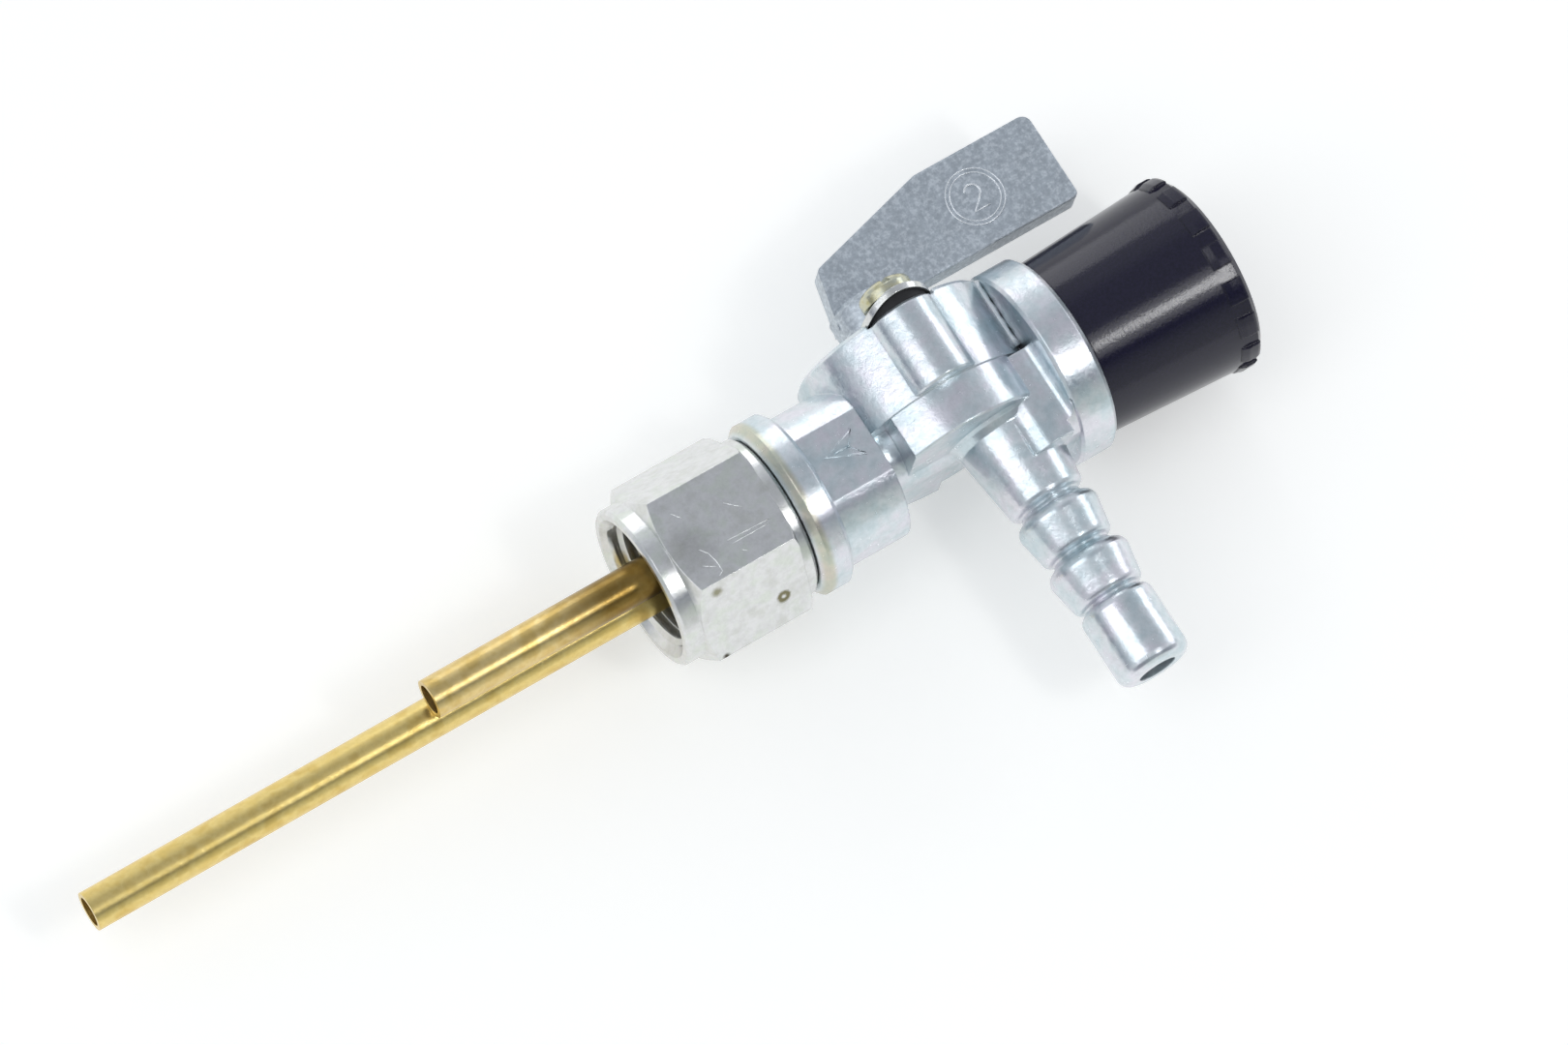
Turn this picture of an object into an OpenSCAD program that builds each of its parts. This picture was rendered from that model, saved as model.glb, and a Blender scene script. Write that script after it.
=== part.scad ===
// Fuel tap with a union nut, two standpipes, a flag lever, a hose barb and a sediment bowl.
// Z runs up the main axis out of the union nut. The lever points along -Y and the barb along +Y.
// The origin is the centre of the nut's open face, where the tank's threaded stub enters.

/* [Standpipes] */
// Outside diameter of both brass standpipes
pipe_od = 4; // [3.6:0.1:4.4]
// Wall of both standpipes
pipe_wall = 0.5; // [0.3:0.05:0.8]
// Free space between the two standpipes
pipe_gap = 0.1; // [0.05:0.05:0.4]
// Turn of the pair about the main axis
pipe_turn = 10; // [0:1:20]
// Height of the main standpipe above the nut
main_pipe_h = 60.6; // [40:0.2:90]
// Height of the reserve standpipe above the nut
reserve_pipe_h = 23.4; // [10:0.2:35]
// Depth to which the pipes are pressed into the body's spigot
pipe_seat = 8; // [5:0.5:10]

/* [Union nut] */
// Width of the nut across its flats
nut_af = 17; // [16.6:0.2:20]
// Length of the nut
nut_len = 14.8; // [13:0.2:18]
// Radius of the round collar at each end of the nut
nut_collar_r = 8.35; // [7.9:0.05:8.45]
// Length of the collar at the open end
nut_front_collar = 1.9; // [1.2:0.1:2.5]
// Length of the collar at the body end
nut_rear_collar = 1.4; // [1:0.1:2.5]
// Wall radius of the tank thread
tank_thread_r = 6.5; // [6.2:0.05:6.8]
// Length of the tank thread behind its countersink
tank_thread_len = 5.5; // [4:0.5:6]
// Thickness of the fibre seal at the bottom of the tank thread
tank_seal_t = 1.5; // [1:0.1:2]
// Radius of the countersink at its mouth
nut_mouth_r = 7.4; // [7:0.1:7.8]
// Wall radius of the thread that runs on the spigot
spigot_thread_r = 6.2; // [5.8:0.05:6.2]

/* [Body] */
// Radius of the collar under the nut
collar_r = 9.15; // [8.8:0.05:10]
// Thickness of the collar under the nut
collar_t = 3.4; // [2.5:0.1:4]
// Radius of the round neck under the collar
neck_r = 8; // [7.6:0.1:8.6]
// Distance of the wrench flats from the main axis
flat_x = 7.2; // [6.6:0.1:7.4]
// Radius of the valve drum
drum_r = 10.2; // [9.8:0.1:10.4]
// Radius of the lower band of the drum
band_r = 9.9; // [9.2:0.1:10]
// Reach of the drum from the main axis toward the lever
drum_front = 9.5; // [9:0.1:11]
// Reach of the drum's lower band from the main axis toward the barb
drum_back = 3.8; // [3:0.1:5]
// Depth of the step between the drum and its lower band, from the main axis
drum_step = 0.7; // [0.3:0.1:1.2]
// Depth of the valve axis below the nut's open face
valve_drop = 33.6; // [33:0.2:36]
// Height of the flat on the band above the valve axis
band_flat_h = 6.1; // [5.5:0.1:7]
// Radius of the flange that holds the bowl
bowl_flange_r = 10.3; // [9.9:0.05:11]
// Thickness of the flange that holds the bowl
bowl_flange_t = 4.2; // [3.8:0.1:5]
// Distance from the valve axis to the bowl flange
bowl_flange_drop = 9.7; // [9.4:0.1:10]
// Distance of the pad beside the barb from the main axis
pad_x = 6.9; // [6.5:0.1:7.6]
// Reach of the pad toward the barb
pad_y = 8.9; // [8:0.1:9.5]
// Height of the pad's flat face above the bowl flange
pad_h = 3.2; // [2.6:0.1:3.8]
// Radius of the fillet between the pad and the bowl flange
pad_fillet = 1; // [0.5:0.1:1.5]
// Radius of the fuel passages
passage_r = 1.2; // [0.9:0.05:1.3]

/* [Screw boss] */
// Distance of the boss axis from the valve axis
boss_x = 8.3; // [7.9:0.1:9]
// Radius of the boss
boss_r = 3.65; // [3.4:0.05:3.9]
// Radius of the screw's thread
screw_r = 1.5; // [1.25:0.05:1.6]
// Length of the screw's thread below its seat
screw_len = 6.8; // [5.6:0.2:7.4]
// Radius of the screw head
screw_head_r = 2.75; // [2.5:0.05:3]
// Height of the screw head
screw_head_h = 1.9; // [1.6:0.1:2.4]
// Thickness of the rubber pad under the spring washer
rubber_t = 1; // [0.6:0.05:1.2]
// Thickness of the spring washer's sheet
washer_t = 0.65; // [0.4:0.05:0.8]

/* [Valve] */
// Radius of the bore that takes the lever's plug
valve_bore_r = 5.7; // [5.5:0.05:5.9]
// Depth of that bore's floor from the main axis
valve_floor = 2.6; // [2.5:0.1:3]
// Thickness of the rubber port seal
port_seal_t = 1.5; // [1.2:0.1:1.8]
// Distance of the outlet port from the valve axis
port_pcr = 3; // [2.8:0.1:3.2]
// Width of the O-ring groove in the plug
ring_groove_w = 1.6; // [1.4:0.1:1.8]
// Thickness of the O-ring
ring_t = 1.3; // [1:0.1:1.4]

/* [Lever] */
// Radius of the lever's hub above the drum
hub_r = 3.9; // [3.6:0.1:4.2]
// Height of the hub above the drum
hub_h = 4.5; // [4:0.1:5.5]
// Thickness of the flag-shaped blade
blade_t = 3; // [2.6:0.1:3.6]
// Reach of the blade below the valve axis
blade_len = 23.8; // [18:0.2:30]
// Clear height of the blade's lower edge above the drum
blade_lift = 2.7; // [2.2:0.1:3.5]
// Width of the blade at its free end
blade_w = 9.7; // [8:0.1:12]
// Width of the blade beside the hub
blade_w_hub = 6.3; // [5:0.1:7]

/* [Hose barb] */
// Offset of the barb's axis from the main axis, toward the boss side
barb_x = 1.4; // [1:0.1:1.8]
// Height of the barb's axis above the bowl flange
barb_up = 5.4; // [5.2:0.1:5.8]
// Reach of the barb from the main axis
barb_len = 31.8; // [30:0.2:36]
// Radius of the barb's root
root_r = 4.9; // [4.6:0.1:5.1]
// Radius of the first ridge
ridge_r = 4.3; // [4:0.05:4.5]
// Radius of the last ridge, where the hose is clamped
tip_r = 3.85; // [3.6:0.05:4]
// Radius of the grooves between the ridges
groove_r = 2.95; // [2.8:0.05:3.2]
// Spacing of the ridges
ridge_pitch = 5.45; // [5.2:0.05:5.8]
// Radius of the barb's bore
barb_bore_r = 2; // [1.7:0.1:2.2]

/* [Bowl] */
// Radius of the bowl just under its flange
bowl_top_r = 9.2; // [9:0.1:9.6]
// Radius of the bowl at its wide end
bowl_end_r = 10.1; // [9.8:0.1:10.6]
// Visible length of the bowl
bowl_len = 16.8; // [14:0.2:22]
// Wall of the bowl
bowl_wall = 1.4; // [1:0.1:1.8]
// Radius of the bowl's threaded neck
bowl_neck_r = 8.1; // [7.8:0.05:8.3]
// Number of grip ribs round the wide end
rib_count = 16; // [8:1:20]
// Height of a grip rib
rib_h = 0.25; // [0.15:0.05:0.4]
// Length of a grip rib
rib_len = 2; // [1.6:0.1:4]
// Width of a grip rib
rib_w = 2.4; // [1.6:0.1:2.6]

/* [Filter] */
// Radius of the gauze
filter_r = 5; // [4.4:0.1:5.6]
// Length of the filter below its spout
filter_len = 13; // [10:0.5:14]
// Radius of the filter's spout
spout_r = 2.6; // [2.2:0.1:3]
// Height of the spout above the filter
spout_h = 2.2; // [1.8:0.1:3]

/* [Clearances] */
// Radial clearance between a thread or plug and its hole
run_gap = 0.08; // [0.04:0.01:0.1]
// Space left between flat faces of pieces that turn on each other
face_gap = 0.2; // [0.1:0.05:0.3]
// Space left between the nut's rear face and the body's collar
nut_gap = 0.08; // [0.05:0.01:0.2]

/* [Hidden] */
$fn = 64;
far = 60;
overlap = 0.4;
zinc = "#aab2b8";
steel = "#b9bec2";
brass = "#b59a45";
black = "#26262c";
rubber = "#1b1b1d";
fibre = "#8d5a3a";

valve_z = -valve_drop;
collar_z = -nut_len - nut_gap;
neck_z = collar_z - collar_t;
neck_end_z = valve_z + 8.4;
relief_depth = 0.6;
spigot_top = -tank_thread_len - tank_seal_t - 1.2;
spigot_r = spigot_thread_r - run_gap;
relief_r = tank_thread_r + 0.55;
pipe_r = pipe_od / 2;
pipe_bore_r = pipe_r - pipe_wall;
pipe_off = pipe_r + pipe_gap / 2;
pipe_x = pipe_off * cos(pipe_turn);
pipe_y = pipe_off * sin(pipe_turn);
port_wall_r = pipe_off + passage_r + 1.1;
port_z = sqrt(pow(port_pcr, 2) - pow(pipe_x, 2));
flange_z = valve_z - bowl_flange_drop;
bowl_z = flange_z - bowl_flange_t;
thread_top = flange_z - 1;
bowl_thread_r = bowl_neck_r + run_gap;
bowl_seal_t = 0.8;
rib_turn = 13.5;
barb_z = flange_z + barb_up;
pad_step = max(pad_x - barb_x - root_r + 0.05, 0.2);
drum_edge = 0.4;
boss_top = -drum_front + drum_edge;
spot_depth = 0.2;
plug_top = boss_top + 0.05;
boss_bottom = -drum_step - 0.1;
root_end = drum_back + 8.1;
root_end_r = root_r - 1.6;
last_ridge = root_end + 2 + 2 * ridge_pitch;
plug_face = -valve_floor - port_seal_t;
plug_r = valve_bore_r - run_gap;
ring_y = -7.6;
groove_floor = valve_bore_r - ring_t - 0.03;
blade_y = -drum_front - blade_lift;
blade_left = 3.75;
blade_round = 0.6;
blade_drop = 1.9;
blade_slope = 14.6;
blade_tip_r = 1;
groove_from = 40;
groove_turn = 200;
slot_t = 0.8;
washer_rise = rubber_t + 0.05;
washer_r = 3.7;
pad_r = 3.3;
washer_bend = (pow(washer_r, 2) + pow(washer_rise, 2)) / (2 * washer_rise);
washer_y = boss_top - rubber_t;
bowl_bore_y = 4.9;
spout_y = -0.6;
disc_t = 1;

function arc(x, y, r, from, to, steps = 5) =
  [for (i = [0:steps]) let (a = from + (to - from) * i / steps) [x + r * cos(a), y + r * sin(a)]];

module along_y(x = 0, z = 0) translate([x, 0, z]) rotate([-90, 0, 0]) children();

module rod_y(x, z, r, from, to) along_y(x, z) translate([0, 0, from]) cylinder(r = r, h = to - from);

module rod_z(x, y, r, from, to) translate([x, y, from]) cylinder(r = r, h = to - from);

// Round bar along Z with a chamfered edge at either end
module edged_rod(r, from, to, low_edge, high_edge) rotate_extrude()
  polygon([[0, from], [r - low_edge, from], [r, from + low_edge], [r, to - high_edge],
    [r - high_edge, to], [0, to]]);

module pipe(x, y, top) color(brass) difference() {
  rod_z(x, y, pipe_r, spigot_top - pipe_seat, top);
  rod_z(x, y, pipe_bore_r, spigot_top - pipe_seat - 1, top + 1);
}

module main_pipe() pipe(pipe_x, pipe_y, main_pipe_h);

module reserve_pipe() pipe(-pipe_x, -pipe_y, reserve_pipe_h);

// Hexagon between two round collars: a full cone chamfers its front end, a small one its rear end
module nut_outside() {
  corner_r = nut_af / sqrt(3);
  hex_top = -nut_front_collar;
  hex_low = -nut_len + nut_rear_collar;
  slope = tan(30);
  rear_r = corner_r - 0.6;
  edged_rod(nut_collar_r, -nut_len, 0, 0.4, 0.3);
  intersection() {
    translate([0, 0, hex_low]) rotate([0, 0, 30]) cylinder(r = corner_r, h = hex_top - hex_low, $fn = 6);
    rotate_extrude() polygon([[0, hex_low], [rear_r, hex_low],
      [corner_r + overlap, hex_low + (corner_r + overlap - rear_r) * slope],
      [corner_r + overlap, hex_top - (corner_r + overlap - nut_collar_r) * slope],
      [nut_collar_r, hex_top], [0, hex_top]]);
  }
}

module union_nut() color(steel) difference() {
  nut_outside();
  rotate_extrude() polygon([[0, 1], [nut_mouth_r + 1, 1], [tank_thread_r, -nut_mouth_r + tank_thread_r],
    [tank_thread_r, -tank_thread_len - 0.9], [relief_r, -tank_thread_len - 1.4],
    [relief_r, spigot_top - 0.6], [spigot_thread_r, spigot_top - 1.6],
    [spigot_thread_r, -nut_len - 1], [0, -nut_len - 1]]);
}

module tank_seal() color(fibre) difference() {
  rod_z(0, 0, tank_thread_r - face_gap, spigot_top, spigot_top + tank_seal_t);
  rod_z(0, 0, pipe_off + pipe_r + 0.3, spigot_top - 1, spigot_top + tank_seal_t + 1);
}

module flat_cuts() for (side = [-1, 1])
  translate([side * (flat_x + far / 2), 0, (neck_z + valve_z) / 2 - 0.2])
    cube([far, far, neck_z - valve_z], center = true);

module neck() {
  difference() {
    rod_z(0, 0, neck_r, neck_end_z, neck_z + overlap);
    flat_cuts();
  }
  rod_z(0, 0, port_wall_r, valve_z, neck_z);
}

module drum() {
  difference() {
    along_y(0, valve_z) rotate_extrude() polygon([[0, -drum_front], [drum_r - drum_edge, -drum_front],
      [drum_r, -drum_front + drum_edge], [drum_r, -drum_step], [0, -drum_step]]);
    rod_y(-boss_x, valve_z, washer_r + face_gap, -drum_front - 1, boss_top + spot_depth);
  }
  difference() {
    along_y(0, valve_z) rotate_extrude() polygon([[0, -drum_step - overlap], [band_r, -drum_step - overlap],
      [band_r, drum_back - 0.2], [band_r - 0.2, drum_back], [0, drum_back]]);
    translate([-far / 2, -drum_step - 1, valve_z + band_flat_h]) cube([far, far, far]);
    translate([0.5, drum_back - relief_depth, valve_z - band_r - 1]) cube([far, far, band_r + 2]);
  }
  along_y(-boss_x, valve_z) rotate_extrude() polygon([[0, boss_top], [boss_r - 0.3, boss_top],
    [boss_r, boss_top + 0.3], [boss_r, boss_bottom - 0.2], [boss_r - 0.2, boss_bottom], [0, boss_bottom]]);
}

// One ridge from its steep side at y: a slightly tapered crest, and a narrow groove behind it
function ridge(y) = concat(arc(ridge_r - 1.1, y, 1.1, -80, 10), arc(ridge_r - 1.3, y + 2.9, 0.8, 8, 85),
  [[groove_r, y + 3.9]]);

// Turned outline of the barb: a tapered root, two rounded ridges and a long end
module barb_outside() along_y(-barb_x, barb_z) rotate_extrude() polygon(concat(
  [[0, 0], [root_r + 1.2, 0], [root_r + 1.2, drum_back - 0.1], [root_r + 0.5, drum_back + 0.3],
    [root_r, drum_back + 1]],
  arc(root_end_r, root_end, 0.7, 10, 90, 3), [[groove_r + 0.2, root_end + 0.9]],
  ridge(root_end + 2.5), ridge(root_end + 2.5 + ridge_pitch),
  arc(tip_r - 0.9, last_ridge, 0.9, -80, 0, 4), arc(tip_r - 1.1, barb_len - 1.1, 1.1, 0, 80, 4),
  [[0, barb_len]]));

// Flat-sided block beside the barb's root: an S-shaped shoulder blends it into the root above it,
// and a hollow fillet into the bowl flange below it
module pad() intersection() {
  rise = (barb_up - pad_h) / 2;
  r = (pow(rise, 2) + pow(pad_step / 2, 2)) / pad_step;
  turn = asin(rise / r);
  half = concat([[0, barb_z]], arc(pad_x - pad_step + r, barb_z, r, 180, 180 + turn),
    arc(pad_x - r, flange_z + pad_h, r, turn, 0),
    arc(pad_x + pad_fillet, flange_z + pad_fillet, pad_fillet, 180, 270), [[0, flange_z]]);
  translate([0, pad_y, 0]) rotate([90, 0, 0]) linear_extrude(pad_y + 0.5) union() {
    polygon(half);
    mirror([1, 0]) polygon(half);
  }
  union() {
    rod_z(0, 0, bowl_flange_r, flange_z - 1, flange_z + pad_fillet);
    translate([-far / 2, -far / 2, flange_z + pad_fillet]) cube([far, far, far]);
  }
}

module body_outside() {
  rod_z(0, 0, spigot_r, collar_z - 1, spigot_top);
  edged_rod(collar_r, neck_z, collar_z, 0.4, 0.8);
  neck();
  drum();
  edged_rod(bowl_flange_r, bowl_z, flange_z, 0.5, 0.3);
  pad();
  barb_outside();
}

module body() color(zinc) difference() {
  body_outside();
  for (side = [-1, 1]) {
    rod_z(side * pipe_x, side * pipe_y, pipe_r, spigot_top - pipe_seat, spigot_top + 1);
    rod_z(side * pipe_x, side * pipe_y, passage_r, valve_z + port_z, spigot_top);
    rod_y(side * pipe_x, valve_z + port_z, passage_r, -valve_floor - 1, side * pipe_y);
  }
  rod_y(0, valve_z, valve_bore_r, -drum_front - 1, -valve_floor);
  rod_y(0, valve_z - port_pcr, passage_r, -valve_floor - 1, spout_y);
  rod_z(0, spout_y, passage_r, flange_z - 2, valve_z - port_pcr);
  rod_y(-boss_x, valve_z, screw_r + 0.05, boss_top - 1, boss_top + screw_len + 0.4);
  rod_y(-barb_x, barb_z, barb_bore_r, bowl_bore_y, barb_len + 1);
  rod_z(-barb_x, bowl_bore_y, passage_r, flange_z - 2, barb_z);
  rod_z(0, 0, bowl_thread_r, bowl_z - 1, thread_top);
}

// Flag outline in the lever's plane: first value toward the nut, second away from the drum
module blade() translate([-blade_t / 2, 0, valve_z]) rotate([90, 0, 90]) linear_extrude(blade_t)
  polygon(concat(
    [[-blade_y, blade_left]],
    arc(-blade_y + blade_w_hub - blade_round, blade_left - blade_drop, blade_round, 80, 20, 3),
    [[-blade_y + blade_w, blade_left - blade_slope]],
    arc(-blade_y + blade_w - blade_tip_r, -blade_len + blade_tip_r, blade_tip_r, 0, -90),
    arc(-blade_y + blade_round, -blade_len + blade_round, blade_round, -90, -180, 4)));

module lever() color(zinc) difference() {
  union() {
    along_y(0, valve_z) rotate_extrude() polygon([[0, plug_face], [plug_r - 0.3, plug_face],
      [plug_r, plug_face - 0.3], [plug_r, plug_top], [hub_r, plug_top],
      [hub_r, -drum_front - hub_h + 0.6], [hub_r - 0.6, -drum_front - hub_h], [0, -drum_front - hub_h]]);
    mirror([0, 1, 0]) blade();
  }
  along_y(0, valve_z) rotate_extrude() polygon([[groove_floor, ring_y],
    [plug_r + 1, ring_y], [plug_r + 1, ring_y + ring_groove_w], [groove_floor, ring_y + ring_groove_w]]);
  along_y(0, valve_z) translate([0, 0, plug_face - passage_r]) rotate([0, 0, -groove_from - groove_turn])
    rotate_extrude(angle = groove_turn) translate([port_pcr - passage_r, 0]) square([2 * passage_r, 2]);
}

module plug_ring() color(rubber) along_y(0, valve_z) translate([0, 0, ring_y + ring_groove_w / 2])
  rotate_extrude() translate([valve_bore_r - ring_t / 2 - 0.01, 0]) circle(d = ring_t, $fn = 24);

module port_seal() color(rubber) difference() {
  rod_y(0, valve_z, valve_bore_r - 0.05, plug_face, -valve_floor);
  for (side = [-1, 1]) rod_y(side * pipe_x, valve_z + port_z, passage_r, plug_face - 1, 1);
  rod_y(0, valve_z - port_pcr, passage_r, plug_face - 1, 1);
}

// Bar along X whose top follows the inside of the spring washer's arch
module arch_bar(r, to) translate([-far, washer_y + washer_bend, valve_z]) rotate([0, 90, 0])
  cylinder(r = r, h = far + to, $fn = 200);

// Rubber pad squeezed to the washer's arch, so it thins toward both ends
module rubber_pad() color(rubber) difference() {
  intersection() {
    rod_y(-boss_x, valve_z, pad_r, washer_y, boss_top);
    arch_bar(washer_bend - 0.01, 0);
  }
  rod_y(-boss_x, valve_z, screw_r, washer_y - 1, boss_top + 1);
}

// Saddle washer: a round blank bent about X, arched over the rubber pad and cut flat beside the hub
module spring_washer() color(steel) difference() {
  intersection() {
    arch_bar(washer_bend + washer_t, -hub_r - face_gap);
    rod_y(-boss_x, valve_z, washer_r, washer_y - 3, washer_y + 4);
  }
  arch_bar(washer_bend, 1);
  rod_y(-boss_x, valve_z, screw_r + 0.1, washer_y - 5, washer_y + 5);
}

module retaining_screw() color(steel) difference() {
  head = washer_y - washer_t;
  along_y(-boss_x, valve_z) rotate_extrude() polygon(concat(
    [[0, boss_top + screw_len], [screw_r - 0.3, boss_top + screw_len], [screw_r, boss_top + screw_len - 0.3],
      [screw_r, head], [screw_head_r, head]],
    [for (a = [0:18:90]) [screw_head_r * cos(a), head - screw_head_h * (0.45 + 0.55 * sin(a))]]));
  translate([-boss_x - far / 2, head - screw_head_h - 1, valve_z - slot_t / 2]) cube([far, 1.9, slot_t]);
}

// Black plastic cup: threaded neck, straight taper and short grip ribs at the wide end
module bowl() color(black) difference() {
  low = bowl_z - bowl_len;
  top = thread_top - bowl_seal_t;
  union() {
    rotate_extrude() polygon([[0, low], [bowl_end_r - 0.6, low], [bowl_end_r, low + 0.6],
      [bowl_top_r, bowl_z - face_gap], [bowl_neck_r, bowl_z - face_gap], [bowl_neck_r, top], [0, top]]);
    intersection() {
      for (i = [0:rib_count - 1]) rotate([0, 0, rib_turn + i * 360 / rib_count])
        translate([bowl_end_r / 2, -rib_w / 2, low + 0.5]) cube([bowl_end_r, rib_w, rib_len]);
      rotate_extrude() polygon([[0, low], [bowl_end_r + rib_h - 0.3, low], [bowl_end_r + rib_h, low + 0.8],
        [bowl_end_r + rib_h, low + rib_len - 0.2], [bowl_end_r, low + rib_len + 0.5], [0, low + rib_len + 0.5]]);
    }
  }
  rotate_extrude() polygon([[0, top + 1], [bowl_neck_r - bowl_wall, top + 1], [bowl_neck_r - bowl_wall, bowl_z - 0.6],
    [bowl_top_r - bowl_wall, bowl_z - 1.6], [bowl_end_r - bowl_wall - 0.4, low + bowl_wall], [0, low + bowl_wall]]);
}

module bowl_seal() color(rubber) difference() {
  rod_z(0, 0, bowl_thread_r - 0.1, thread_top - bowl_seal_t + 0.05, thread_top);
  rod_z(0, 0, bowl_neck_r - bowl_wall, thread_top - 3, thread_top + 1);
}

// Moulded cage: a spout that plugs on the outlet, a top disc, four posts and a closed foot
module filter_frame() color("#d9d5c6") {
  top = thread_top - spout_h;
  low = top - filter_len;
  difference() {
    union() {
      rod_z(0, spout_y, spout_r, top - overlap, thread_top);
      rod_z(0, 0, filter_r, top - disc_t, top);
    }
    rod_z(0, spout_y, passage_r, low, thread_top + 1);
  }
  for (i = [0:3]) rotate([0, 0, 45 + 90 * i]) translate([filter_r - 1.2, -0.5, low]) cube([0.9, 1, filter_len]);
  rod_z(0, 0, filter_r, low - disc_t, low);
}

module filter_gauze() color(brass) difference() {
  top = thread_top - spout_h - disc_t;
  low = thread_top - spout_h - filter_len;
  rod_z(0, 0, filter_r - 0.02, low, top);
  rod_z(0, 0, filter_r - 0.25, low - 1, top + 1);
}

body();
union_nut();
tank_seal();
main_pipe();
reserve_pipe();
lever();
plug_ring();
port_seal();
retaining_screw();
spring_washer();
rubber_pad();
bowl();
bowl_seal();
filter_frame();
filter_gauze();
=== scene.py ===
import bpy
import math
from mathutils import Matrix, Vector


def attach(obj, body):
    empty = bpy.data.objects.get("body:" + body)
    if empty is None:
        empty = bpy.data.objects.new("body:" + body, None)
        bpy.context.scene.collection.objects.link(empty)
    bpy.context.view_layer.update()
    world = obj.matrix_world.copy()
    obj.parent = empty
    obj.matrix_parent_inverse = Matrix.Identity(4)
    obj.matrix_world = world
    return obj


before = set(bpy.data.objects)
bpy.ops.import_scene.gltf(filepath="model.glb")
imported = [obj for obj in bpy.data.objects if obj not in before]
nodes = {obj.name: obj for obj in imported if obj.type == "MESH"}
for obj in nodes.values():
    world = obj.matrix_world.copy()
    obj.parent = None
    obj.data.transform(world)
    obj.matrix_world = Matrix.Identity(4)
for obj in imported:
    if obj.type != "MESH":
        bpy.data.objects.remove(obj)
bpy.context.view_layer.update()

# Table, daylight and camera. The tap lies on a white table, on its +X side, so the floor is an upright
# plane behind it. A pale tent and five soft boxes light it evenly, and the camera stands where the
# photograph was taken, as fitted to the tap's outline.
MM = 0.001


def linear(hex_colour):
    """sRGB hex to the linear colour that Blender's sockets take."""
    values = [int(hex_colour[i:i + 2], 16) / 255 for i in (1, 3, 5)]
    return tuple(v / 12.92 if v <= 0.04045 else ((v + 0.055) / 1.055) ** 2.4 for v in values) + (1.0,)


def add(tree, kind, inputs=None, **settings):
    """One shader node: inputs are numbers, colours or sockets to link, settings are its properties."""
    node = tree.nodes.new(kind)
    for key, value in settings.items():
        setattr(node, key, value)
    for key, value in (inputs or {}).items():
        if isinstance(value, bpy.types.NodeSocket):
            tree.links.new(value, node.inputs[key])
        else:
            node.inputs[key].default_value = value
    return node


def empty_material(name):
    material = bpy.data.materials.new(name)
    material.use_nodes = True
    material.node_tree.nodes.clear()
    return material, material.node_tree


scene = bpy.context.scene
scene.view_settings.view_transform = "Standard"

camera_data = bpy.data.cameras.new("camera")
camera_data.sensor_width = 36.0
camera_data.lens = 195.8
camera_data.clip_start = 0.05
camera = bpy.data.objects.new("camera", camera_data)
scene.collection.objects.link(camera)
right = Vector((-0.10734, 0.52991, -0.84124))
up = Vector((-0.31226, -0.82128, -0.47749))
back = Vector((-0.94391, 0.21143, 0.25363))
eye_mm = Vector((-763.788, 172.297, 189.917))
camera.matrix_world = Matrix.Translation(eye_mm * MM) @ Matrix((right, up, back)).transposed().to_4x4()
scene.camera = camera


def soft_box(name, colour, direction, distance, width, height, radiance):
    """Area lamp that shines on the middle of the tap. The direction is the one from the tap to the lamp,
    and the lengths are in metres."""
    tap_middle = Vector((0, 0.004, -0.032))
    lamp = bpy.data.lights.new(name, "AREA")
    lamp.shape = "RECTANGLE"
    lamp.size, lamp.size_y = width, height
    lamp.energy = radiance * math.pi * width * height
    lamp.color = linear(colour)[:3]
    box = bpy.data.objects.new(name, lamp)
    toward = Vector(direction).normalized()
    box.location = tap_middle + toward * distance
    box.rotation_euler = toward.to_track_quat("Z", "Y").to_euler()
    scene.collection.objects.link(box)


# Each box is one white band that the round parts mirror. The small core gives the bowl its streak.
soft_box("box_nut_side", "#fbfcff", (-0.76, -0.06, 0.61), 0.5, width=0.20, height=0.40, radiance=1.45)
soft_box("box_bowl_side", "#fbfcff", (-0.36, -0.10, -0.93), 0.5, width=0.25, height=0.18, radiance=1.8)
soft_box("box_barb_side", "#ffffff", (-0.86, 0.445, -0.25), 0.6, width=0.30, height=0.16, radiance=1.5)
soft_box("box_barb_core", "#ffffff", (-0.86, 0.445, -0.25), 0.58, width=0.09, height=0.05, radiance=15.0)
soft_box("box_lever_side", "#ffffff", (-0.12, -0.96, -0.22), 0.6, width=0.50, height=0.10, radiance=1.4)

# The tent's colour goes along Y: nearly white at both ends, pale grey between them, and one dark gap on
# the barb's side.
world = bpy.data.worlds.new("world")
world.use_nodes = True
tree = world.node_tree
tree.nodes.clear()
direction = add(tree, "ShaderNodeTexCoord").outputs["Generated"]
axes = add(tree, "ShaderNodeSeparateXYZ", {"Vector": direction}).outputs
across = add(tree, "ShaderNodeMapRange", {"Value": axes["Y"], "From Min": -1.0, "From Max": 1.0})
tent = add(tree, "ShaderNodeValToRGB", {"Fac": across.outputs["Result"]})
tent.color_ramp.elements[0].color = linear("#e2e6eb")
tent.color_ramp.elements[1].color = linear("#e3e7e3")
for place, colour in ((0.28, "#ccd1d8"), (0.45, "#c3c8ce"), (0.66, "#ced2d5"), (0.80, "#a2a8b1"),
                      (0.87, "#4c5468"), (0.93, "#b2b8b8")):
    tent.color_ramp.elements.new(place).color = linear(colour)

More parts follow.
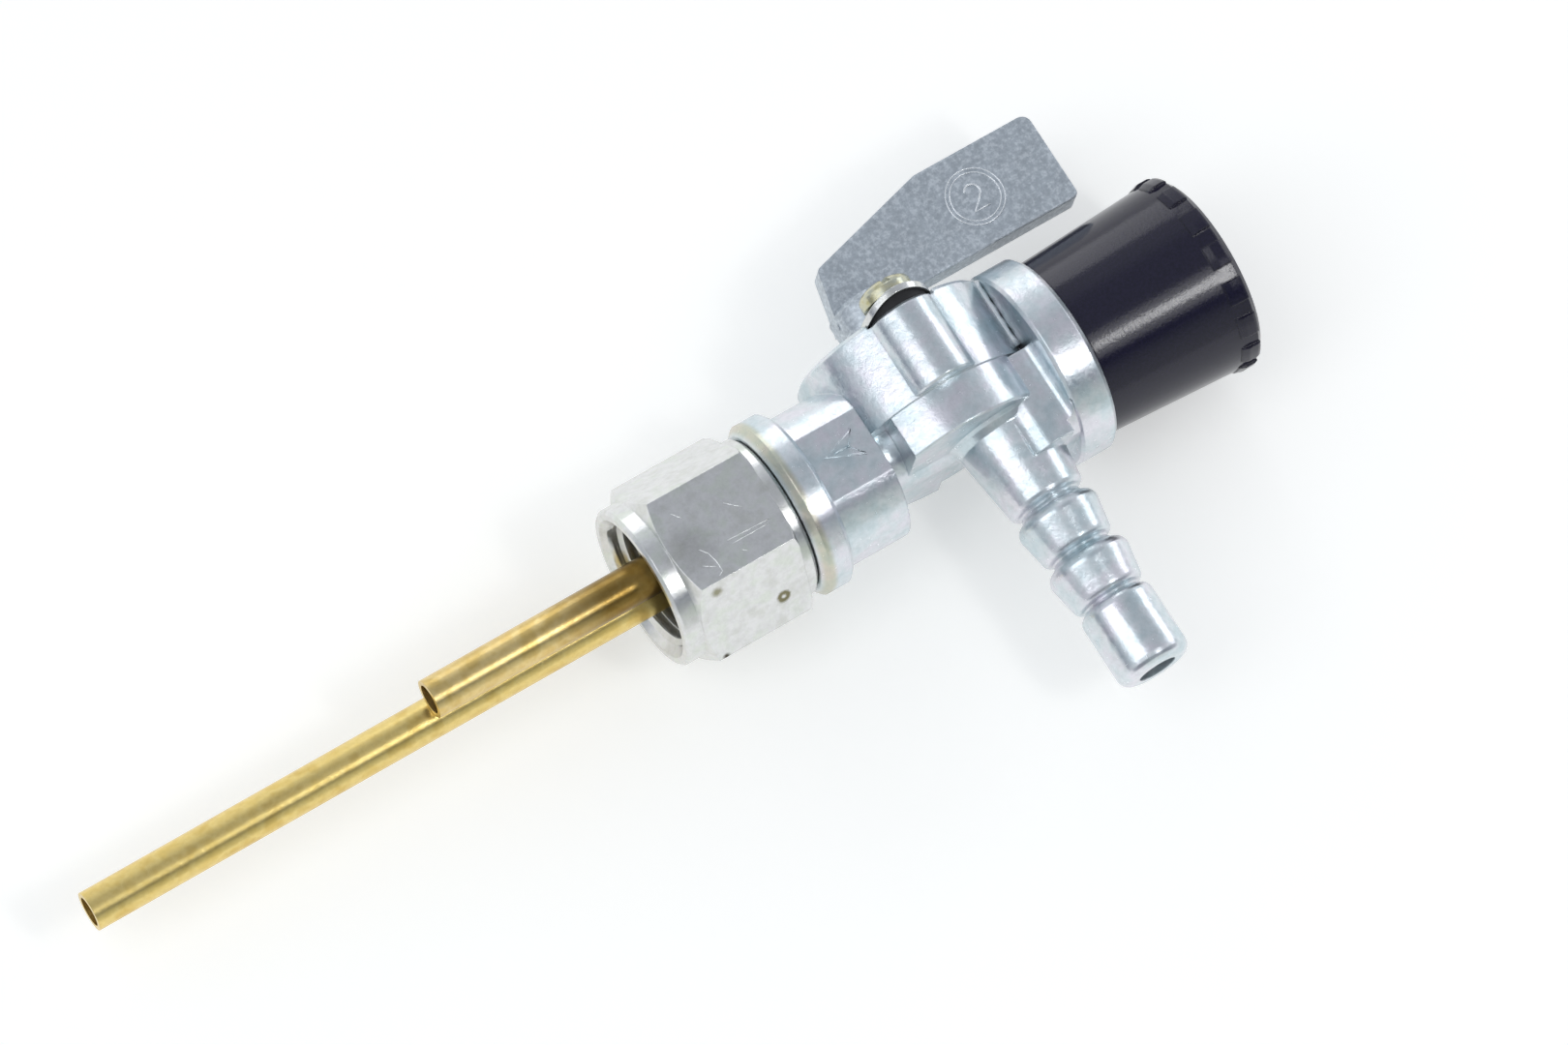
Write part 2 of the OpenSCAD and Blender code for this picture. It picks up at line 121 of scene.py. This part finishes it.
# Two greyer patches in it: the camera's own opening, which the flat faces mirror, and the dim side past
# the nut, which the round faces mirror beside their white band.
sky = tent.outputs["Color"]
for aim, far, near, colour in (((-0.93, -0.16, -0.33), 0.84, 0.97, "#adb1b8"),
                               ((0.12, -0.20, 0.97), 0.90, 0.98, "#666d80")):
    toward = add(tree, "ShaderNodeVectorMath", {0: direction, 1: aim}, operation="DOT_PRODUCT")
    patch = add(tree, "ShaderNodeMapRange", {"Value": toward.outputs["Value"], "From Min": far,
                                             "From Max": near}, interpolation_type="SMOOTHSTEP")
    greyed = add(tree, "ShaderNodeMix", {0: patch.outputs["Result"], 6: sky, 7: linear(colour)},
                 data_type="RGBA")
    sky = greyed.outputs[2]
background = add(tree, "ShaderNodeBackground", {"Color": sky, "Strength": 1.0})
add(tree, "ShaderNodeOutputWorld", {"Surface": background.outputs["Background"]})
scene.world = world


def mesh_object(name, verts, faces, material, smooth=True):
    """Mesh piece from points in mm."""
    mesh = bpy.data.meshes.new(name)
    mesh.from_pydata([Vector(v) * MM for v in verts], [], faces)
    mesh.update()
    if smooth:
        mesh.polygons.foreach_set("use_smooth", [True] * len(mesh.polygons))
    obj = bpy.data.objects.new(name, mesh)
    mesh.materials.append(material)
    scene.collection.objects.link(obj)
    return obj


# Matt white top: it is lifted to full white for the camera and for what mirrors it, so that only the
# tap's shadow shows. From behind, or from well off to a side, the camera looks through it.
table_glow = 0.32
table_top, tree = empty_material("white_table")
diffuse = add(tree, "ShaderNodeBsdfDiffuse", {"Color": linear("#f4f3ef")})
path = add(tree, "ShaderNodeLightPath").outputs
seen = add(tree, "ShaderNodeMath", {0: path["Is Camera Ray"], 1: path["Is Glossy Ray"]}, operation="ADD")
seen = add(tree, "ShaderNodeMath", {0: seen.outputs[0], 1: path["Is Transmission Ray"]}, operation="ADD")
lift = add(tree, "ShaderNodeMath", {0: seen.outputs[0], 1: table_glow}, operation="MULTIPLY")
glow = add(tree, "ShaderNodeEmission", {"Color": linear("#ffffff"), "Strength": lift.outputs[0]})
shown = add(tree, "ShaderNodeAddShader", {0: diffuse.outputs[0], 1: glow.outputs[0]})
geometry = add(tree, "ShaderNodeNewGeometry").outputs
facing = add(tree, "ShaderNodeVectorMath", {0: geometry["Incoming"], 1: geometry["True Normal"]},
             operation="DOT_PRODUCT")
fade = add(tree, "ShaderNodeMapRange", {"Value": facing.outputs["Value"], "From Min": 0.55, "From Max": 0.8})
front = add(tree, "ShaderNodeMath", {0: 1.0, 1: geometry["Backfacing"]}, operation="SUBTRACT")
faded = add(tree, "ShaderNodeMath", {0: fade.outputs["Result"], 1: front.outputs[0]}, operation="MULTIPLY")
other_ray = add(tree, "ShaderNodeMath", {0: 1.0, 1: path["Is Camera Ray"]}, operation="SUBTRACT")
lit = add(tree, "ShaderNodeMath", {0: other_ray.outputs[0], 1: front.outputs[0]}, operation="MULTIPLY")
opaque = add(tree, "ShaderNodeMath", {0: faded.outputs[0], 1: lit.outputs[0]}, operation="MAXIMUM")
clear = add(tree, "ShaderNodeBsdfTransparent")
mixed = add(tree, "ShaderNodeMixShader", {0: opaque.outputs[0], 1: clear.outputs[0], 2: shown.outputs[0]})
add(tree, "ShaderNodeOutputMaterial", {"Surface": mixed.outputs[0]})
table_x, reach = 10.8, 900
table = mesh_object("white_table", [(table_x, -reach, -reach), (table_x, -reach, reach),
                                    (table_x, reach, reach), (table_x, reach, -reach)],
                    [(0, 1, 2, 3)], table_top, smooth=False)

# Body: one zinc die casting with collar, wrench flats, valve drum, screw boss, flange and hose barb,
# barrel plated with bright zinc. The solid's small edges are sharp, so the shading rounds them.


def metal(name, tints, tint_mm, rough, grain_mm, grain, bevel_mm, swell=0.25, haze=(0.35, 0.5),
          mottle=(0.5, 0.94), stains=(), bands=()):
    """Metal skin: tints are two or three colours mixed in clouds tint_mm wide, rough is (low, high),
    haze is the share and the roughness of the frosted part of its shine, mottle the size of the fine
    specks in mm and how dark they get. Each stain is a centre, an inner and an outer radius in mm,
    a colour and its strength: a spot, or a ring round its centre. Each band is a height in z,
    half its width in mm, a colour and its strength."""
    swell_mm, grain_deep_mm = 0.06, 0.02
    material, tree = empty_material(name)
    place = add(tree, "ShaderNodeTexCoord").outputs["Object"]

    clouds = add(tree, "ShaderNodeTexNoise", {"Vector": place, "Scale": 1 / (tint_mm * MM), "Detail": 3.0,
                                              "Roughness": 0.6})
    ramp = add(tree, "ShaderNodeValToRGB", {"Fac": clouds.outputs["Fac"]})
    first, last = ramp.color_ramp.elements
    first.position, first.color = 0.36, linear(tints[0])
    last.position, last.color = 0.64, linear(tints[-1])
    if len(tints) > 2:
        ramp.color_ramp.elements.new(0.5).color = linear(tints[1])
    skin = add(tree, "ShaderNodeTexNoise", {"Vector": place, "Scale": 1 / (grain_mm * MM), "Detail": 4.0,
                                            "Roughness": 0.65, "Distortion": 0.6})
    specks = add(tree, "ShaderNodeTexNoise", {"Vector": place, "Scale": 1 / (mottle[0] * MM), "Detail": 6.0,
                                              "Roughness": 0.75})
    speck = add(tree, "ShaderNodeMapRange", {"Value": specks.outputs["Fac"], "From Min": 0.38,
                                             "From Max": 0.58, "To Min": mottle[1]})
    tinted = add(tree, "ShaderNodeMix", {0: 1.0, 6: ramp.outputs["Color"], 7: speck.outputs["Result"]},
                 data_type="RGBA", blend_type="MULTIPLY")

    for height, half, tone, strength in bands:
        z = add(tree, "ShaderNodeSeparateXYZ", {"Vector": place}).outputs["Z"]
        level = add(tree, "ShaderNodeMath", {0: z, 1: height * MM}, operation="SUBTRACT")
        away = add(tree, "ShaderNodeMath", {0: level.outputs[0]}, operation="ABSOLUTE")
        share = add(tree, "ShaderNodeMapRange", {"Value": away.outputs[0], "From Min": half * MM,
                                                 "From Max": 0.4 * half * MM, "To Max": strength})
        patchy = add(tree, "ShaderNodeMath", {0: share.outputs["Result"], 1: speck.outputs["Result"]},
                     operation="MULTIPLY")
        tinted = add(tree, "ShaderNodeMix", {0: patchy.outputs[0], 6: tinted.outputs[2], 7: linear(tone)},
                     data_type="RGBA", blend_type="MULTIPLY")

    # The skin's own noise makes the edge of each stain ragged.
    for centre, inner, outer, tone, strength in stains:
        away = add(tree, "ShaderNodeVectorMath", {0: place, 1: Vector(centre) * MM}, operation="DISTANCE")
        ragged = add(tree, "ShaderNodeMath", {0: skin.outputs["Fac"], 1: 0.5 * outer * MM,
                                              2: away.outputs["Value"]}, operation="MULTIPLY_ADD")
        past = add(tree, "ShaderNodeMath", {0: ragged.outputs[0], 1: (inner + 0.25 * outer) * MM},
                   operation="SUBTRACT")
        off_ring = add(tree, "ShaderNodeMath", {0: past.outputs[0]}, operation="ABSOLUTE")
        ring = add(tree, "ShaderNodeMapRange", {"Value": off_ring.outputs[0], "From Min": (outer - inner) * MM,
                                                "From Max": 0.3 * (outer - inner) * MM, "To Max": strength})
        tinted = add(tree, "ShaderNodeMix", {0: ring.outputs["Result"], 6: tinted.outputs[2], 7: linear(tone)},
                     data_type="RGBA", blend_type="MULTIPLY")

    colour = tinted.outputs[2]
    wave = add(tree, "ShaderNodeTexNoise", {"Vector": place, "Scale": 1 / (5 * grain_mm * MM), "Detail": 1.0})
    roughness = add(tree, "ShaderNodeMapRange", {"Value": skin.outputs["Fac"], "From Min": 0.3,
                                                 "From Max": 0.7, "To Min": rough[0], "To Max": rough[1]})
    edge = add(tree, "ShaderNodeBevel", {"Radius": bevel_mm * MM}, samples=4)
    swells = add(tree, "ShaderNodeBump", {"Strength": swell, "Distance": swell_mm * MM,
                                          "Height": wave.outputs["Fac"], "Normal": edge.outputs["Normal"]})
    bump = add(tree, "ShaderNodeBump", {"Strength": grain, "Distance": grain_deep_mm * MM,
                                        "Height": skin.outputs["Fac"], "Normal": swells.outputs["Normal"]})
    bright = add(tree, "ShaderNodeBsdfPrincipled", {"Base Color": colour, "Metallic": 1.0,
                                                    "Roughness": roughness.outputs["Result"],
                                                    "Normal": bump.outputs["Normal"]})
    frosted = add(tree, "ShaderNodeBsdfPrincipled", {"Base Color": colour, "Metallic": 1.0,
                                                     "Roughness": haze[1], "Normal": bump.outputs["Normal"]})
    shader = add(tree, "ShaderNodeMixShader", {0: haze[0], 1: bright.outputs[0], 2: frosted.outputs[0]})
    add(tree, "ShaderNodeOutputMaterial", {"Surface": shader.outputs[0]})
    return material


def paint_node(name, material):
    """Gives one of the part's solids its material."""
    mesh = nodes[name].data
    mesh.materials.clear()
    mesh.materials.append(material)


# Bright zinc plating on a die casting: pale blue to lavender clouds, soft swells from the mould, and a
# band painted yellower and a little darker round the collar. The grain is drawn coarser than life, so that it
# shows.
collar_yellow_band = (-15.6, 0.8, "#e6dab6", 0.7)
plated_zinc = metal("plated_zinc", ("#d2dfe4", "#e0e7eb", "#e8e7ee"), tint_mm=3.0, rough=(0.12, 0.28),
                    grain_mm=0.6, grain=1.2, bevel_mm=0.2, swell=0.9, haze=(0.35, 0.45), mottle=(0.7, 0.9),
                    bands=(collar_yellow_band,))
paint_node("body", plated_zinc)

# Flow arrow: a plain pointer and its stem, which stand up from the neck's wrench flat. They were cut in
# the mould, so they are the body's own zinc.


def raised_line(name, points, x, width, height, material, body, closed=False):
    """Half-round line on a face that looks toward -X: points are (y, z) in mm along its middle."""
    sides = 8
    sunk = 0.02
    count = len(points)
    verts, faces = [], []
    for i, (y, z) in enumerate(points):
        before = points[i - 1] if closed or i else points[0]
        after = points[(i + 1) % count] if closed or i < count - 1 else points[-1]
        run = Vector((after[0] - before[0], after[1] - before[1])).normalized()
        for k in range(sides + 1):
            angle = math.pi * k / sides
            side = width / 2 * math.cos(angle)
            verts.append((x + sunk - (height + sunk) * math.sin(angle), y - run.y * side, z + run.x * side))
    for i in range(count if closed else count - 1):
        a, b = i * (sides + 1), (i + 1) % count * (sides + 1)
        faces += [(a + k, b + k, b + k + 1, a + k + 1) for k in range(sides)]
    if not closed:
        end = (count - 1) * (sides + 1)
        faces += [tuple(range(sides + 1)), tuple(reversed(range(end, end + sides + 1)))]
    obj = mesh_object(name, verts, faces, material)
    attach(obj, body)


neck_flat_x = -7.2
arrow_notch = (-0.5, -22.7)
raised_line("flow_arrow", [(-0.6, -20.2), (-1.9, -23.75), arrow_notch, (0.9, -23.8)], neck_flat_x,
            width=0.3, height=0.13, material=plated_zinc, body="tap_body", closed=True)
raised_line("flow_arrow_stem", [arrow_notch, (-0.55, -21.2)], neck_flat_x,
            width=0.28, height=0.1, material=plated_zinc, body="tap_body")

# Casting seam: a thin ragged bead of flash between the drum and the flange, where the halves of the
# mould met. It is the body's zinc, rough as broken off, so it stays pale and dull.
seam_x = -4.25
ragged_zinc = metal("ragged_zinc", ("#e4eaee", "#f2f5f7"), tint_mm=0.6, rough=(0.34, 0.5), grain_mm=0.5,
                    grain=0.4, bevel_mm=0.05, haze=(0.6, 0.6))
raised_line("flange_seam", [(-9.1, -43.06), (-8.3, -42.92), (-7.6, -42.98), (-6.7, -42.88), (-5.9, -42.99),
                            (-5.0, -42.9), (-4.2, -42.98), (-3.3, -42.88), (-2.4, -42.96), (-1.6, -43.04)],
            seam_x, width=0.7, height=0.25, material=ragged_zinc, body="tap_body")

# Union nut: hexagon bar of mild steel, turned and bored, then zinc plated. It hangs on the body's pipe
# collar and draws the tap up to the tank.
# Bright zinc on turned steel: clearer and whiter than the casting, with brownish drying stains. One
# grey patch of painted shade darkens the middle of the face toward -X.
nut_stains_and_shade = (((-7.43, 5.53, -4.2), 0.0, 0.75, "#a5a184", 0.9),
              ((-3.0, 8.06, -10.6), 0.45, 0.85, "#8b8460", 0.95),
              ((-0.1, 9.7, -3.5), 0.0, 0.5, "#5f5a50", 1.0),
              # The last entry is that painted shade: a grey patch over the face toward -X, for the darker grey
              # it mirrors.
              ((-8.4, 1.0, -4.0), 0.0, 3.0, "#c9c9c6", 0.5))
plated_steel = metal("plated_steel", ("#dcddd9", "#e6e6e6", "#e0e4dd"), tint_mm=2.2, rough=(0.12, 0.22),
                     grain_mm=0.3, grain=0.6, bevel_mm=0.12, haze=(0.3, 0.45), mottle=(0.9, 0.9),
                     stains=nut_stains_and_shade)
paint_node("union_nut", plated_steel)

# Handling scratches on the nut's face toward the camera, where a tool has bared the steel. It is whiter
# than the plating, without stains. They are drawn as low ridges, coarse enough to show.
nut_face_x = -8.5
bare_steel = metal("bare_steel", ("#eceeec", "#f6f7f5"), tint_mm=1.0, rough=(0.2, 0.3), grain_mm=0.3,
                   grain=0.2, bevel_mm=0.0)
for i, scratch in enumerate((
        [(1.92, -7.5), (2.0, -9.2), (2.1, -12.23)], [(2.42, -7.72), (2.45, -9.9), (2.43, -11.84)],
        [(1.35, -4.63), (2.09, -5.24), (3.14, -5.48), (4.25, -5.5), (4.5, -4.98)], [(2.9, -4.1), (3.6, -5.2)],
        [(-1.4, -9.1), (-0.2, -10.4)], [(3.4, -8.2), (3.75, -8.6)], [(-3.0, -4.2), (-2.1, -4.9)])):
    raised_line("nut_scratch_%d" % (i + 1), scratch, nut_face_x, width=0.1, height=0.02, material=bare_steel,
                body="nut")

# Tank thread: cut in the nut's bore at a pitch of 1 mm, for the stub of the tank. It is the nut's own
# plated steel, and its turns show in the open end.


def thread_ridge(name, wall_r, crest_r, top, low, pitch, material, body):
    """Inside thread: one ridge that winds down the wall from top to low and fades out at both ends.
    Flank and crest are half its width at foot and top, as shares of the pitch."""
    steps = 48
    fade_steps = 16
    flank, crest = 0.44, 0.07
    count = int((top - low) / pitch * steps)
    verts, faces = [], []
    for i in range(count + 1):
        angle = math.radians(-90 + 360 * i / steps)
        depth = (wall_r - crest_r) * min(1.0, i / fade_steps, (count - i) / fade_steps)
        z = top - pitch * i / steps
        for r, rise in ((wall_r, flank), (wall_r - depth, crest), (wall_r - depth, -crest), (wall_r, -flank)):
            verts.append((r * math.cos(angle), r * math.sin(angle), z + rise * pitch))
    for i in range(count):
        a = 4 * i
        faces += [(a + k, a + k + 1, a + k + 5, a + k + 4) for k in range(3)]
    obj = mesh_object(name, verts, faces, material)
    obj.data.set_sharp_from_angle(angle=math.radians(30))
    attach(obj, body)


thread_ridge("tank_thread", wall_r=6.53, crest_r=5.95, top=-0.75, low=-5.9, pitch=1.0, material=plated_steel,
             body="nut")

# Standpipes: drawn brass tube, cut off square and pressed into the body. The long one draws the main
# fuel, the short one the reserve.
# Bare brass: a warm yellow with a soft frosted shine. The reserve pipe is browner and darker near the nut.
near_nut_brown = (0.0, 11.0, "#8c7c52", 0.9)
brass_tube = metal("brass_tube", ("#e8cc7c", "#f0d78c", "#e0c374"), tint_mm=3.0, rough=(0.14, 0.24),
                   grain_mm=0.3, grain=0.5, bevel_mm=0.05, swell=0.2, haze=(0.42, 0.38), mottle=(0.6, 0.92))
paint_node("main_pipe", brass_tube)
brown_brass = metal("brown_brass", ("#e0c27c", "#ead192", "#d8bb74"), tint_mm=3.0, rough=(0.14, 0.24),
                    grain_mm=0.3, grain=0.5, bevel_mm=0.05, swell=0.2, haze=(0.42, 0.38), mottle=(0.6, 0.92),
                    bands=(near_nut_brown,))
paint_node("reserve_pipe", brown_brass)

# Flag lever: a second zinc die casting, blade, hub and plug in one. The plug turns in the valve drum.
# Matt zinc plating: duller than the body's, mid grey with pale flakes about 0.4 mm wide.
matt_zinc = metal("matt_zinc", ("#b9c1c8", "#c4ccd3", "#dbe2e8"), tint_mm=0.42, rough=(0.3, 0.5),
                  grain_mm=0.35, grain=0.7, bevel_mm=0.45, mottle=(1.8, 0.9))
paint_node("lever", matt_zinc)

# Ring and a plain numeral that stand up from the blade, cast in one with it. Their zinc is painted paler
# and brighter than the blade, a painted highlight on the raised lines. The numeral's top is toward -Y.
blade_x = -1.5
ring_y, ring_z = -17.1, -48.5
highlight_zinc = metal("highlight_zinc", ("#e6eaee", "#f3f5f7"), tint_mm=0.5, rough=(0.22, 0.32), grain_mm=0.2,
                  grain=0.4, bevel_mm=0.0)
ring_steps = 64
turns = [math.radians(360 * i / ring_steps) for i in range(ring_steps)]
for name, radius in (("lever_ring_outer", 2.92), ("lever_ring_inner", 2.5)):
    raised_line(name, [(ring_y + radius * math.cos(a), ring_z + radius * math.sin(a)) for a in turns],
                blade_x, width=0.17, height=0.09, material=highlight_zinc, body="lever", closed=True)
hook_r, hook_rise, foot_rise = 0.78, 0.55, -1.35
hook = [math.radians(a) for a in range(165, -46, -15)]
numeral = [(hook_r * math.cos(a), hook_rise + hook_r * math.sin(a)) for a in hook]
numeral += [(-0.8, foot_rise), (0.85, foot_rise)]
raised_line("lever_numeral", [(ring_y - rise, ring_z - side) for side, rise in numeral], blade_x,
            width=0.26, height=0.12, material=highlight_zinc, body="lever")

# Retaining screw and spring washer: a domed, slotted steel screw in the body's boss, and the bent washer
# under its head, which has the nut's plating.
# Yellow zinc plating on the screw: straw coloured and glossy.
yellow_steel = metal("yellow_steel", ("#bdb78c", "#d3d0b4", "#c6c8b8"), tint_mm=1.2, rough=(0.14, 0.24),
                     grain_mm=0.3, grain=0.3, bevel_mm=0.15)
paint_node("retaining_screw", yellow_steel)
paint_node("spring_washer", plated_steel)

# Rubber parts: the lever's ring, the port seal and the bowl's seal, all moulded nitrile rubber that is
# squeezed in its seat. The pad under the washer is painted the same near-black, as the dark crescent in the
# gap under the washer.


def dull(name, colour, other, spot_mm, rough, grain, bevel_mm=0.1):
    """Plastic, rubber or fibre: two near colours in small clouds, and a fine grain."""
    grain_deep_mm = 0.02
    material, tree = empty_material(name)
    place = add(tree, "ShaderNodeTexCoord").outputs["Object"]
    clouds = add(tree, "ShaderNodeTexNoise", {"Vector": place, "Scale": 1 / (spot_mm * MM), "Detail": 4.0})
    ramp = add(tree, "ShaderNodeValToRGB", {"Fac": clouds.outputs["Fac"]})
    first, last = ramp.color_ramp.elements
    first.position, first.color = 0.35, linear(colour)
    last.position, last.color = 0.65, linear(other)
    edge = add(tree, "ShaderNodeBevel", {"Radius": bevel_mm * MM}, samples=4)
    bump = add(tree, "ShaderNodeBump", {"Strength": grain, "Distance": grain_deep_mm * MM,
                                        "Height": clouds.outputs["Fac"], "Normal": edge.outputs["Normal"]})
    shader = add(tree, "ShaderNodeBsdfPrincipled", {"Base Color": ramp.outputs["Color"], "Roughness": rough,
                                                    "IOR": 1.46, "Normal": bump.outputs["Normal"]})
    add(tree, "ShaderNodeOutputMaterial", {"Surface": shader.outputs["BSDF"]})
    return material


# Nitrile rubber: matt and nearly black.
seal_rubber = dull("seal_rubber", "#151517", "#1e1e20", spot_mm=0.6, rough=0.6, grain=0.5)
for name in ("plug_ring", "port_seal", "rubber_pad", "bowl_seal"):
    paint_node(name, seal_rubber)

# Tank seal: a ring punched from pressed fibre, in the nut under the tank's stub.
# Pressed fibre: matt red-brown with a coarse grain.
paint_node("tank_seal", dull("sealing_fibre", "#564536", "#665241", spot_mm=0.4, rough=0.8, grain=0.8))

# Filter: a cage moulded in natural nylon, with brass gauze wrapped round it. It hangs inside the bowl.
# Natural nylon: warm white and half matt.
paint_node("filter_frame", dull("filter_plastic", "#d6d2c2", "#dedacb", spot_mm=2.0, rough=0.45, grain=0.2))
# Woven brass: darker and duller than the pipes. Its wires are too fine to show, so it is drawn as a grain.
brass_gauze = metal("brass_gauze", ("#a98f4a", "#b79c55"), tint_mm=1.0, rough=(0.3, 0.4), grain_mm=0.15,
                    grain=0.6, bevel_mm=0.02)
paint_node("filter_gauze", brass_gauze)

# Sediment bowl: moulded in black acetal with grip ribs round its wide end, and screwed on under the
# body's flange.
# Black acetal: blue-black and glossy, with a fine grit of handling marks in its sheen.
black_plastic = dull("black_plastic", "#131126", "#1c1930", spot_mm=0.3, rough=0.15, grain=0.45,
                     bevel_mm=0.25)
paint_node("bowl", black_plastic)
